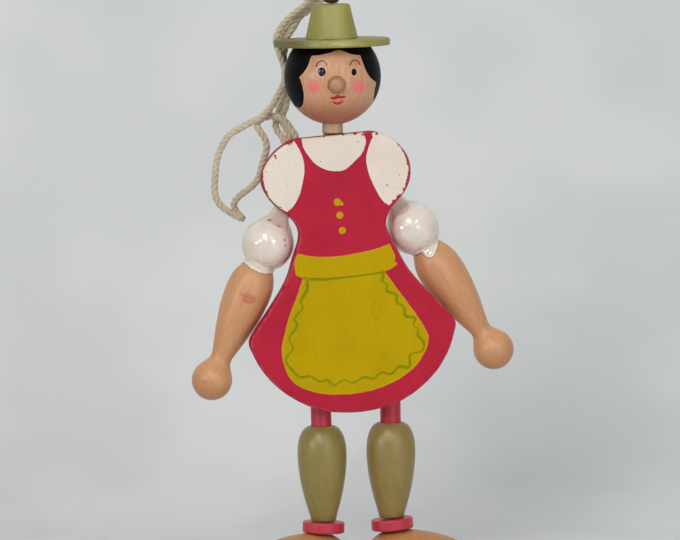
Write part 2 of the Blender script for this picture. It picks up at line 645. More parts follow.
# Ovals: (centre x, centre z, half width, half height).
EYE_LEFT = (-7.83, 2.95, 1.89, 2.19)
EYE_RIGHT = (7.66, 2.78, 1.32, 1.74)
CHEEKS = [(-11.55, -3.95, 3.05, 3.25), (10.04, -4.22, 3.4, 3.25)]
GLINTS = [(-8.95, 3.35, 0.5, 0.62), (-7.35, 3.55, 0.34, 0.4), (-7.2, 1.6, 0.28, 0.26),
          (-9.45, 2.1, 0.34, 0.5)]


def unroll(points):
    """Even spread of the ball about its face direction, in mm along the surface."""
    unit = points / np.maximum(np.linalg.norm(points, axis=1), 1e-9)[:, None]
    angle = np.arccos(np.clip(-unit[:, 1], -1, 1))
    sideways = np.maximum(np.hypot(unit[:, 0], unit[:, 2]), 1e-9)
    bearing = np.stack([unit[:, 0] / sideways, unit[:, 2] / sideways], 1)
    return bearing * (angle * HEAD_RADIUS)[:, None]


def unroll_face(points):
    """Unroll (x, z) points lifted to the front of the ball."""
    points = np.array(points, float)
    y = -np.sqrt(np.maximum(HEAD_RADIUS ** 2 - (points ** 2).sum(1), 0.0))
    return unroll(np.stack([points[:, 0], y, points[:, 1]], 1))


def mask_head(mesh):
    """Signed distances to the painted hair and features."""
    points = points_mm(mesh) - np.array(HEAD_CENTRE)
    face = np.vstack([spline(unroll_face(arc), 8)[:-1] for arc in HAIRLINE]
                     + [unroll_face(HAIRLINE[-1][-1:]), np.array(UNDER_CHIN)])
    # The hair stops at a wavy hem low on the ball.
    around = np.arctan2(points[:, 1], points[:, 0])
    hem = points[:, 2] + 15.1 + 0.5 * np.sin(around * 9.0)
    hair = np.minimum(-outline_depth(unroll(points), face), hem)
    flat = points[:, [0, 2]]
    front = points[:, 1] < -4.0

    def oval(centre_x, centre_z, half_x, half_z):
        reach = np.hypot((flat[:, 0] - centre_x) / half_x, (flat[:, 1] - centre_z) / half_z)
        return np.where(front, (1 - reach) * min(half_x, half_z), OFF)

    brow = np.full(len(points), OFF)
    for arc in BROWS:
        distance, along = line_distance(flat, spline(arc, 6))
        half = 0.30 + 0.05 * np.abs(2 * along - 1)  # thicker at both ends
        brow = np.maximum(brow, np.where(front, half - distance, OFF))
    lips = outline_depth(flat, UPPER_LIP) + 0.05
    distance, along = line_distance(flat, spline(LOWER_LIP, 6))
    taper = np.sqrt(np.clip(np.sin(np.pi * np.clip(along, 0.02, 0.98)), 0, 1))
    lips = np.maximum(lips, 0.62 * taper - distance)
    distance, _ = line_distance(flat, MOUTH_LINE)
    write_attributes(mesh, hair=hair, eyeL=oval(*EYE_LEFT), eyeR=oval(*EYE_RIGHT),
                     cheek=np.maximum.reduce([oval(*cheek) for cheek in CHEEKS]),
                     glint=np.maximum.reduce([oval(*glint) for glint in GLINTS]), brow=brow,
                     lips=np.where(front, lips, OFF), mouth=np.where(front, 0.3 - distance, OFF))


def head_paint():
    mat = Shader("head_paint")
    streaks = mat.streaks(fine=0.85, along=0.05, warp=0.8)
    fine = mat.noise(stretch=(4.5, 4.5, 0.12), rough=0.6)
    speck = mat.noise(stretch=(3.4, 3.4, 1.2), detail=2.0, rough=0.6)
    z = mat.axes()[2]
    # Wood, darker under the chin, with pink cheeks and a pale edge at the hair.
    wood = mat.tint(rgb(214, 163, 128), rgb(202, 147, 108), streaks, span=(0.36, 0.66))
    wood = mat.tint(wood, rgb(196, 140, 102), fine, span=(0.5, 0.78), amount=0.35)
    wood = mat.tint(wood, rgb(186, 128, 90), speck, span=(0.62, 0.74), amount=0.22)
    wood = mat.tint(wood, rgb(170, 98, 72), z, span=(-7.5, -20.5), out=(0.0, 0.85))
    wood = mat.tint(wood, rgb(240, 112, 126), mat.field("cheek"), span=(-0.7, 1.5),
                    out=(0.0, 0.8))
    hair = mat.field("hair")
    wood = mat.tint(wood, rgb(240, 206, 170), hair, span=(-0.55, -0.08), out=(0.0, 0.45))
    # Eyes, each with a pale halo.
    left, right = mat.field("eyeL"), mat.field("eyeR")
    wood = mat.tint(wood, rgb(244, 222, 204), left, span=(-0.7, -0.1), amount=0.45)
    wood = mat.tint(wood, rgb(240, 212, 184), right, span=(-0.55, -0.1), amount=0.38)
    iris = mat.tint(rgb(30, 26, 38), rgb(62, 62, 92), mat.noise(scale=2.2, detail=2.0),
                    span=(0.45, 0.62))
    iris = mat.tint(iris, rgb(30, 26, 38), left, span=(0.85, 0.25))
    colour = mat.tint(wood, iris, left, span=(-0.05, 0.07))
    colour = mat.tint(colour, rgb(36, 20, 18), right, span=(-0.05, 0.07))
    colour = mat.tint(colour, rgb(206, 208, 224), mat.field("glint"), span=(-0.08, 0.22),
                      amount=0.5)
    colour = mat.tint(colour, rgb(92, 46, 26), mat.field("brow"), span=(-0.09, 0.06), amount=0.9)
    # Lips, with a darker line between them.
    lips = mat.field("lips")
    red = mat.tint(rgb(206, 40, 34), rgb(184, 26, 28), mat.noise(scale=1.3, detail=2.0),
                   span=(0.4, 0.65))
    colour = mat.tint(colour, red, lips, span=(-0.07, 0.08))
    parting = mat.mul(mat.step(mat.field("mouth"), span=(-0.1, 0.2)),
                      mat.step(lips, span=(-0.1, 0.1)))
    colour = mat.tint(colour, rgb(140, 18, 18), parting, amount=0.7)
    on_hair = mat.step(hair, span=(-0.05, 0.06))
    black = mat.tint(rgb(15, 13, 13), rgb(21, 19, 19), mat.noise(scale=0.12, detail=2.0),
                     span=(0.35, 0.7))
    colour = mat.tint(colour, black, on_hair)
    height = mat.relief(
        (on_hair, 0.09), (mat.step(left, span=(-0.05, 0.5)), 0.12),
        (mat.step(right, span=(-0.05, 0.45)), 0.09), (mat.step(lips, span=(-0.05, 0.3)), 0.05),
        (fine, 0.018), (mat.noise(scale=0.5, detail=2.0), 0.05))
    eyes = mat.math("MAXIMUM", mat.step(left, span=(0.0, 0.1)), mat.step(right, span=(0.0, 0.1)))
    paint = mat.math("MAXIMUM", on_hair, eyes)
    return mat.finish(colour, mat.blend(paint, off=0.44, on=0.42), height,
                      coat=mat.blend(paint, off=0.14, on=0.0), coat_rough=0.2,
                      spec=mat.blend(paint, off=0.22, on=0.05))


def in_face_zone(centre):
    """Round the eyes and the mouth, where the head needs a finer mesh."""
    x, z = centre.x, centre.z - HEAD_CENTRE[2]
    if centre.y > -8:
        return False
    return ((-12.4 < x < -4.2 and 0.0 < z < 9.6) or (4.6 < x < 11.8 and 0.4 < z < 9.8)
            or (-5.2 < x < 5.2 and -14.0 < z < -7.0))


mask_head(skin("head_ball", 0.32, 6, head_paint(), HEAD_FRAME, refine=in_face_zone))


def nose_marks(mat, colour):
    """End grain rings and a darker rim."""
    x, _, z = mat.axes()
    radius = mat.radius(x, z)
    colour = mat.tint(colour, rgb(146, 100, 66), radius, span=(3.0, 3.7), amount=0.5)
    rings = mat.sine(mat.mul(radius, 4.2))
    return mat.tint(colour, rgb(160, 112, 74), rings, span=(0.3, 1.0), amount=0.16)


def neck_marks(mat, colour):
    """A dark band at the lower end."""
    return mat.tint(colour, rgb(96, 62, 44), mat.axes()[2], span=(-7.0, -7.8), out=(0.0, 0.7))


skin("nose_peg", 0.16, 3,
     bare_wood("nose_wood", light=rgb(186, 134, 97), mid=rgb(174, 121, 86),
               dark=rgb(146, 98, 66), fine=1.6, along=1.0, rough=0.4, coat=0.25,
               extra=nose_marks), shift(-0.93, 0, -88.63))
skin("neck_dowel", 0.26, 4,
     bare_wood("neck_wood", light=rgb(192, 158, 128), mid=rgb(178, 144, 112),
               dark=rgb(150, 112, 84), fine=1.3, along=0.05, rough=0.5, coat=0.12,
               extra=neck_marks), shift(0, 0, -106))


# ------------------------------------------------------------------ hat, bead and bar
def hat_marks(mat, colour, height):
    x, y, z = mat.axes()
    radius = mat.radius(x, y)
    # Pale worn streak along the front of the brim.
    rim = mat.mul(mat.step(radius, span=(27.0, 27.9)), mat.step(y, span=(-14.0, -22.0)))
    worn = mat.noise(stretch=(0.16, 0.16, 1.4))
    streak = mat.mul(mat.step(z, span=(15.3, 16.0)), mat.step(z, span=(18.0, 16.6)),
                     mat.step(worn, span=(0.42, 0.6)))
    middle = mat.mul(mat.step(x, span=(-17.0, -10.0)), mat.step(x, span=(14.0, 2.0)))
    colour = mat.tint(colour, rgb(186, 190, 142), mat.mul(rim, streak),
                      amount=mat.mul(middle, 0.75))
    # Dark on the low left, brown on the right.
    dark = mat.mul(mat.step(x, span=(-7.0, -20.0)), mat.step(z, span=(18.6, 17.8)))
    colour = mat.tint(colour, rgb(88, 80, 30), dark, amount=0.75)
    brown = mat.mul(mat.step(x, span=(19.0, 26.0)),
                    mat.step(mat.noise(scale=0.25), span=(0.4, 0.62)))
    colour = mat.tint(colour, rgb(138, 116, 46), brown, amount=0.55)
    # Patchy edge of the brim.
    edge = mat.mul(mat.step(mat.noise(scale=0.6), span=(0.58, 0.7)),
                   mat.step(radius, span=(26.6, 27.8)))
    colour = mat.tint(colour, rgb(104, 104, 44), edge, amount=0.35)
    # Light patch just right of the middle, towards the front.
    rub = mat.mul(mat.step(x, span=(-2.5, 2.5)), mat.step(x, span=(8.5, 3.0)))
    colour = mat.tint(colour, rgb(184, 180, 104), rub,
                      amount=mat.mul(mat.step(y, span=(2.0, -6.0)), 0.28))
    return colour, height


hat_paint = painted("hat_paint", base=rgb(156, 149, 78), dark=rgb(134, 132, 62),
                    light=rgb(172, 164, 96), rough=0.52, coat=0.05, fine=0.9, along=0.09,
                    streak=0.45, extra=hat_marks)
for node in ("hat_brim", "hat_crown"):
    skin(node, 0.34, 4, hat_paint, HAT_FRAME)
skin("top_bead", 0.2, 4,
     painted("dark_lacquer", base=rgb(74, 38, 36), dark=rgb(48, 24, 24), light=rgb(108, 62, 52),
             rough=0.3, coat=0.5, fine=0.8, along=0.08, streak=0.5), shift(-0.55, 0, -47.3))
bar = skin("control_bar", 0.4, 5,
           painted("bar_lacquer", base=rgb(98, 48, 36), dark=rgb(66, 30, 24),
                   light=rgb(134, 76, 54), rough=0.32, coat=0.4, fine=1.1, along=0.05,
                   streak=0.6))
# The bar's grain runs along X.
write_attributes(bar, loc=points_mm(bar)[:, [1, 2, 0]])


# ------------------------------------------------------------------ arms
# Chips in the white gloss: world (x, y, z, radius).
GLOSS_CHIPS = {
    "left": [(-30.5, 3.35, -156.2, 0.95), (-29.6, 3.0, -156.5, 0.6), (-25.9, 1.27, -158.5, 0.7),
             (-23.3, -1.4, -165.2, 0.6), (-23.0, -1.4, -167.8, 0.62), (-23.3, 2.55, -176.1, 1.1),
             (-21.9, 2.6, -174.6, 0.9), (-28.8, 6.5, -181.0, 0.6), (-36.1, 1.19, -175.9, 0.22)],
    "right": [(36.3, -3.07, -159.7, 0.22), (33.5, -1.5, -165.0, 0.26), (46.0, 2.0, -171.0, 0.24)]}
# Lower edge of the left gloss, and the drip on the right: (across, down) in the arm frame.
GLOSS_EDGE = [(-12, 38.2), (-8.2, 38.65), (-6, 39.2), (-4, 39.9), (0, 40.3), (3, 39.9),
              (4.7, 39.1), (8, 38.2), (12, 38)]
DRIP = spline([(-3.4, 35), (-2.7, 36.6), (-3.2, 38.6), (-2.6, 40.7), (-0.9, 41.6), (0.5, 41.5),
               (3.4, 39.9), (6.2, 38.1), (8.4, 37), (8, 35)], 6)
# Scuffs, and one red spot on the left: world (x, y, z, radius).
SCUFFS = {"left": [(-55.3, 3.4, -225.7, 0.55), (-56.2, 1.6, -227.4, 0.4),
                   (-59.5, 0.5, -238.0, 0.3)],
          "right": [(62.2, 2.0, -178.2, 0.4), (62.8, 2.6, -181.0, 0.3)]}
RED_SPOT = [(-62.45, 0.36, -233.6, 1.25)]


def mask_arm(mesh, side):
    """White gloss the sleeve end was dipped in: where it stops, and how thick it stands."""
    world = points_mm(mesh)
    points = local(world, ARM_FRAME[side])
    across, y, down = points[:, 0], points[:, 1], -points[:, 2]
    around = np.arctan2(across, y)
    if side == "left":
        edge = np.interp(across, *np.transpose(GLOSS_EDGE)) - down
        edge = edge + 0.25 * fuzz(points[:, [0, 2]], scale=0.25, octaves=2, seed=4.0)
        white = np.where(y < 0, edge, 38.1 - down + 0.3 * np.sin(around * 3.0))
    else:
        white = 37.1 - down + 0.12 * np.sin(around * 4.0)
        near = (y < 0) & (down > 33) & (down < 44)
        drip = outline_depth(np.stack([across, down], 1)[near], DRIP)
        white[near] = np.maximum(white[near], drip)
    white = np.clip(white, -6.0, 6.0)
    write_attributes(mesh, white=white, chip=blobs(world, GLOSS_CHIPS[side], 0.9, seed=2.0))
    # Raise the gloss, with a bead at its edge, fading out up the arm and lower at the back.
    zone = np.clip((down - 30.0) / 4.0, 0, 1)
    lift = (np.clip((white + 0.15) / 0.45, 0, 1) * 0.22
            + np.exp(-((white - 0.75) / 0.5) ** 2) * 0.30)
    lift = lift * np.where(y < 2, 1.0, 0.4)
    normals = vertex_data(mesh, "normal")
    put_coords(mesh, (world + normals * (lift * zone)[:, None]) * MM)
    shade_smooth(mesh)
    scuff = blobs(world, SCUFFS[side], ragged=0.9, seed=7.0)
    if side == "right":
        # A dark dot on the front of the drip.
        dot = np.where(y < 0, 0.34 - np.hypot(across - 0.4, down - 38.2), -4.0)
        write_attributes(mesh, dot=dot, mark=np.full(len(world), -5.0), scuff=scuff)
    else:
        # A slanted red patch: half sizes 3.3 by 2.4.
        rise = world[:, 2] + 193.2
        slant = world[:, 0] + 41.0 + 0.28 * rise
        mark = (1.0 - np.maximum(np.abs(slant) / 3.3, np.abs(rise) / 2.4)) * 2.4
        mark = mark + 0.9 * fuzz(world[:, [0, 2]], scale=0.55, octaves=3, seed=1.0)
        mark = np.where(world[:, 1] < 4, mark, -5.0)
        mark = np.maximum(mark, blobs(world, RED_SPOT, ragged=0.6, seed=5.0))
        write_attributes(mesh, dot=np.full(len(world), -4.0), scuff=scuff, mark=mark)


def arm_paint():
    mat = Shader("arm_wood_white_sleeve")
    z = mat.axes()[2]
    # Wood, with the red mark, the scuffs and a darker lower end.
    pores = mat.pores(fine=0.8, along=0.07)
    wood = mat.tint(rgb(212, 156, 110), rgb(204, 146, 101), mat.streaks(fine=0.8, along=0.07),
                    span=(0.36, 0.66))
    wood = mat.tint(wood, rgb(172, 118, 80), pores, span=(0.52, 0.78), amount=0.26)
    flecks = mat.noise(stretch=(5.0, 5.0, 0.9), detail=1.0, rough=0.5)
    flecks = mat.step(flecks, span=(0.64, 0.74))
    wood = mat.tint(wood, rgb(160, 104, 66), flecks, amount=0.3)
    patchy = mat.step(mat.noise(stretch=(1.6, 1.6, 1.0)), span=(0.35, 0.62), out=(0.45, 0.8))
    wood = mat.tint(wood, rgb(196, 98, 72), mat.field("mark"), span=(-0.3, 0.7), amount=patchy)
    wood = mat.tint(wood, rgb(128, 78, 46), mat.field("scuff"), span=(-0.1, 0.3), amount=0.6)
    wood = mat.tint(wood, rgb(184, 126, 88), z, span=(-93.0, -103.0), amount=0.4)
    # White gloss, yellowed low down and greyed near the top, with tiny brown flecks.
    white = mat.field("white")
    gloss = mat.tint(rgb(238, 226, 214), rgb(230, 215, 200), mat.noise(scale=0.11),
                     span=(0.35, 0.7))
    low = mat.mul(mat.step(z, span=(-27.0, -37.0)),
                  mat.step(mat.noise(scale=0.5, rough=0.6), span=(0.4, 0.62)))
    gloss = mat.tint(gloss, rgb(208, 186, 142), low, amount=0.5)
    gloss = mat.tint(gloss, rgb(206, 194, 182), z, span=(-13.0, -6.0), amount=0.25)
    gloss = mat.tint(gloss, rgb(176, 140, 112), mat.noise(scale=1.5, detail=2.0, rough=0.6),
                     span=(0.70, 0.745), amount=0.5)
    # Chips, with a stained halo.
    chip = mat.field("chip")
    on_chip = mat.step(chip, span=(-0.03, 0.12))
    inner = mat.tint(rgb(120, 62, 46), rgb(164, 110, 84), mat.noise(scale=1.8, detail=2.0),
                     span=(0.4, 0.6))
    gloss = mat.tint(gloss, rgb(210, 162, 144), chip, span=(-0.8, 0.0), out=(0.0, 0.22))
    gloss = mat.tint(gloss, inner, on_chip, amount=0.85)
    bead = mat.mul(mat.step(z, span=(-34.0, -37.0)), mat.step(white, span=(1.6, 0.6)))
    gloss = mat.tint(gloss, rgb(240, 236, 230), bead, amount=0.75)
    gloss = mat.tint(gloss, rgb(70, 44, 34), mat.field("dot"), span=(-0.06, 0.12))
    on_white = mat.step(white, span=(-0.07, 0.07))
    wood = mat.tint(wood, rgb(150, 98, 62), white, span=(-0.9, -0.05), amount=0.4)
    colour = mat.tint(wood, gloss, on_white)
    ripple = mat.relief((mat.noise(scale=0.55, detail=2.0), 0.10),
                        (mat.noise(scale=0.2, detail=1.0), 0.18), (on_chip, -0.08))
    height = mat.blend(on_white, off=mat.relief((pores, 0.02), (flecks, -0.02)), on=ripple)
    rough = mat.blend(on_white, off=mat.scaled(pores, by=0.14, plus=0.33),
                      on=mat.add(0.14, mat.mul(on_chip, 0.35)))
    return mat.finish(colour, rough, height, coat=mat.blend(on_white, off=0.0, on=0.75),
                      coat_rough=0.07, spec=mat.blend(on_white, off=0.42, on=0.35))


arm_material = arm_paint()
for side in SIDES:
    mask_arm(skin("turned_arm_" + side, 0.34, 6, arm_material, ARM_FRAME[side]), side)


# ------------------------------------------------------------------ legs and feet
def lower_leg_marks(mat, colour, height):
    """Dark and pale grain lines, a darker lower end, and flecks on the right."""
    x, _, z = mat.axes()
    fine = mat.noise(stretch=(5.5, 5.5, 0.10), rough=0.6)
    colour = mat.tint(colour, rgb(108, 96, 52), fine, span=(0.5, 0.74), amount=0.24)
    colour = mat.tint(colour, rgb(182, 168, 120), mat.noise(stretch=(1.7, 1.7, 0.05)),
                      span=(0.56, 0.72), amount=0.22)
    colour = mat.tint(colour, rgb(112, 98, 48), z, span=(-58.0, -62.0), amount=0.35)
    flecks = mat.noise(stretch=(2.6, 2.6, 0.9), detail=2.0, rough=0.6)
    flecks = mat.mul(mat.step(flecks, span=(0.66, 0.75)), mat.step(x, span=(-2.0, 6.0)))
    colour = mat.tint(colour, rgb(84, 76, 30), flecks, amount=0.5)
    return colour, mat.add(height, mat.mul(fine, 0.03))


dowel_paint = painted("red_dowel_paint", base=rgb(192, 38, 62), dark=rgb(164, 28, 48),
                      light=rgb(208, 74, 92), rough=0.45, coat=0.06, fine=1.5, along=0.05,
                      streak=0.4)
# base, dark and light of the olive stain
OLIVES = {"left": (rgb(146, 129, 64), rgb(122, 108, 48), rgb(166, 146, 88)),
          "right": (rgb(150, 128, 68), rgb(128, 104, 50), rgb(170, 148, 92))}
olive_stain = {side: painted("olive_stain_" + side[0], *OLIVES[side], rough=0.38, coat=0.04,
                             fine=0.7, along=0.05, streak=0.34, extra=lower_leg_marks)
               for side in SIDES}
washer_paint = painted("washer_paint", base=rgb(196, 42, 66), dark=rgb(170, 30, 50),
                       light=rgb(214, 84, 102), rough=0.42, coat=0.1, fine=1.2, along=0.4,
                       streak=0.4)
shoe_wood = bare_wood("shoe_wood", light=rgb(190, 138, 80), mid=rgb(178, 124, 68),
                      dark=rgb(148, 96, 48), fine=0.7, along=1.2, rough=0.4, coat=0.15)
SHOE_SPLAY = {"left": -70.0, "right": 74.0}  # degrees either side of facing -Y
for side in SIDES:
    skin("upper_leg_" + side, 0.3, 3, dowel_paint, LEG_FRAME[side])
    skin("lower_leg_" + side, 0.36, 4, olive_stain[side], LEG_FRAME[side])
    skin("ankle_washer_" + side, 0.26, 4, washer_paint, FOOT_FRAME[side])
    skin("shoe_" + side, 0.42, 4, shoe_wood,
         FOOT_FRAME[side] @ turn(-90 + SHOE_SPLAY[side], "Z") @ turn(90))


# ------------------------------------------------------------------ metal pieces, kept as CAD
def metal(name, base, dark, rough):
    mat = Shader(name, in_object=True)
    fine = mat.noise(scale=4.5)
    colour = mat.tint(base, dark, mat.noise(scale=0.9), span=(0.4, 0.66))
    return mat.finish(colour, mat.scaled(fine, by=0.25, plus=rough - 0.1),
                      mat.relief((fine, 0.015)), metallic=0.95)


METALS = {
    "steel_brad": metal("dull_zinc", rgb(150, 146, 138), rgb(104, 98, 90), rough=0.42),
    "brass_eye": metal("dull_brass", rgb(184, 150, 84), rgb(128, 96, 48), rough=0.38)}
for node, slot in SLOT_OF.items():
    if slot in METALS:
        materials = NODES[node].data.materials
        materials.clear()
        materials.append(METALS[slot])


# ------------------------------------------------------------------ twisted cord
def cotton():
    """Two sets of yarns wound round each ply, darker in the grooves between plies."""
    mat = Shader("cotton_cord", in_object=True)
    around, along, depth = mat.field("pa"), mat.field("ps"), mat.field("dep")

    def yarns(turns, pitch):
        phase = mat.add(mat.mul(around, turns), mat.mul(along, pitch))
        return mat.scaled(mat.sine(phase), by=0.5, plus=0.5)

    coarse = yarns(turns=4.0, pitch=1.7)
    thin = yarns(turns=9.0, pitch=2.9)
    fluff = mat.noise(scale=2.4, detail=4.0, rough=0.65)
    colour = mat.tint(rgb(220, 207, 184), rgb(205, 188, 160), mat.noise(scale=0.12),
                      span=(0.36, 0.68))
    colour = mat.tint(colour, rgb(176, 154, 122), coarse, span=(0.45, 0.05), amount=0.40)
    colour = mat.tint(colour, rgb(186, 166, 134), thin, span=(0.4, 0.0), amount=0.25)
    colour = mat.tint(colour, rgb(240, 232, 214), fluff, span=(0.55, 0.75), amount=0.30)
    colour = mat.tint(colour, rgb(138, 112, 82), depth, span=(0.55, 0.0), amount=0.6)
    height = mat.relief((coarse, 0.09), (thin, 0.04), (fluff, 0.10))
    return mat.finish(colour, 0.92, height, spec=0.15, sheen=0.35)


CORD = cotton()
PLIES = 3


def path_of(points, step=0.5, closed=False):
    """Evenly spaced smooth path: centres, a frame that doesn't twist, and length run."""
    curve = spline(points, 24, closed)
    if closed:
        curve = np.vstack([curve, curve[:1]])
    measured = np.r_[0, np.cumsum(np.linalg.norm(np.diff(curve, axis=0), axis=1))]
    count = max(8, int(measured[-1] / (step * 1.0)))
    run = np.linspace(0, measured[-1], count + 1)
    centres = np.stack([np.interp(run, measured, curve[:, k]) for k in range(3)], 1)
    for _ in range(6):
        eased = centres.copy()
        eased[1:-1] = 0.25 * centres[:-2] + 0.5 * centres[1:-1] + 0.25 * centres[2:]
        centres = eased
    tangent = np.gradient(centres, axis=0)
    tangent /= np.linalg.norm(tangent, axis=1)[:, None]
    normal = np.zeros_like(tangent)
    start = np.array([0.0, 1.0, 0.0] if abs(tangent[0, 1]) < 0.8 else [1.0, 0.0, 0.0])
    normal[0] = np.cross(tangent[0], start)
    normal[0] /= np.linalg.norm(normal[0])
    for i in range(1, len(tangent)):
        carried = normal[i - 1] - tangent[i] * (normal[i - 1] @ tangent[i])
        normal[i] = carried / np.linalg.norm(carried)
    return centres, tangent, normal, np.cross(tangent, normal), run


def rope(name, path, first=0, last=None, radius=1.76, pitch=9.4, hairs=1.1):
    """Plies laid round a path between two of its samples, with loose fibres (hairs a mm)."""
    centres, tangent, normal, binormal, run = path
    if last is None:
        last = len(run) - 1
    ply_radius = radius * 0.53
    helix = radius - ply_radius
    sides = 12
    part = np.arange(first, last + 1)
    count = len(part)
    tubes, marks, faces = [], [], []  # a mark is (angle round the ply, length run, depth)
    for k in range(PLIES):
        phase = 2 * math.pi * (run[part] / pitch + k / PLIES)
        thickness = ply_radius * (1 + 0.05 * np.sin(run[part] * 1.3 + k * 2.0))
        cos, sin = np.cos(phase)[:, None], np.sin(phase)[:, None]
        out = cos * normal[part] + sin * binormal[part]
        across = -sin * normal[part] + cos * binormal[part]
        # The ply's section leans with its helix.
        across = across - 2 * math.pi * helix / pitch * tangent[part]
        across /= np.linalg.norm(across, axis=1)[:, None]
        for j in range(sides + 1):
            angle = 2 * math.pi * j / sides
            tubes.append(centres[part] + helix * out + thickness[:, None]
                         * (-math.cos(angle) * out + math.sin(angle) * across))
            marks += [(angle, length, 0.5 - 0.5 * math.cos(angle))
                      for length in run[part] + k * 3.1]
        for j in range(sides):
            row = (k * (sides + 1) + j) * count + np.arange(count - 1)
            faces += np.stack([row, row + 1, row + count + 1, row + count], 1).tolist()
    tubes = np.vstack(tubes)
    verts = list(tubes)
    # Blunt tip on each ply where the rope really ends.
    for k in range(PLIES):
        for end, sign, is_tip in ((0, -1.0, first == 0), (count - 1, 1.0, last == len(run) - 1)):
            if not is_tip:
                continue
            ring = [(k * (sides + 1) + j) * count + end for j in range(sides + 1)]
            tip = len(verts)
            verts.append(tubes[ring[:-1]].mean(0) + sign * tangent[part[end]] * 0.5)
            marks.append((0.0, 0.0, 0.8))
            for near, far in zip(ring, ring[1:]):
                faces.append((near, far, tip) if sign > 0 else (far, near, tip))
    # Loose fibres: thin ribbons that lift off the rope and taper.
    for _ in range(int((run[last] - run[first]) * hairs * (1.0))):
        i = int(rng.integers(first, last))
        angle = rng.uniform(0, 2 * math.pi)
        out = math.cos(angle) * normal[i] + math.sin(angle) * binormal[i]
        ahead = tangent[i] * rng.choice([-1, 1])
        length = rng.uniform(0.6, 2.0)
        lift = rng.uniform(0.15, 0.7)
        sway = np.cross(tangent[i], out) * rng.uniform(-0.6, 0.6)
        root = centres[i] + out * (radius * 0.9)
        width = np.cross(out, ahead) * 0.022 + out * 0.006
        for t in (0.0, 0.35, 0.7, 1.0):
            centre = (root + ahead * length * t + out * lift * t * t * length * 0.6
                      + sway * t * t * length * 0.6)
            half = width * (1.0 - 0.8 * t)
            verts += [centre - half, centre + half]
            marks += [(0.0, 0.0, 1.0)] * 2
            if t > 0:
                new = len(verts) - 2
                faces.append((new - 2, new - 1, new + 1, new))
    mesh = bpy.data.meshes.new(name)
    mesh.from_pydata((np.array(verts) * MM).tolist(), [], faces)
    around, along, depth = np.array(marks).T
    write_attributes(mesh, pa=around, ps=along, dep=depth)
    mesh.materials.append(CORD)
    shade_smooth(mesh)
    piece = bpy.data.objects.new(name, mesh)
    COLLECTION.objects.link(piece)
    return piece


def knot(name, centre, size, body, radius, turns):
    """Overhand knot drawn tight, on a trefoil path; turns are radians about x, y and z."""
    about_x, about_y, about_z = [Matrix.Rotation(angle, 3, axis)
                                 for angle, axis in zip(turns, "XYZ")]
    rotation = about_z @ about_y @ about_x
    points = []
    for i in range(48):
        t = 2 * math.pi * i / 48
        trefoil = Vector((math.sin(t) + 2 * math.sin(2 * t), math.cos(t) - 2 * math.cos(2 * t),
                          -1.15 * math.sin(3 * t)))
        point = rotation @ (trefoil * (size / 3.0))
        points.append((centre[0] + point.x, centre[1] + point.y, centre[2] + point.z))
    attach(rope(name, path_of(points, 0.45, True), radius=radius, pitch=7.5, hairs=0.8), body)


BAR_Z = -6.0
THROUGH_BAR = (-5.2, -2.0, 1.5, 5.4)  # y stations in the bar's hole
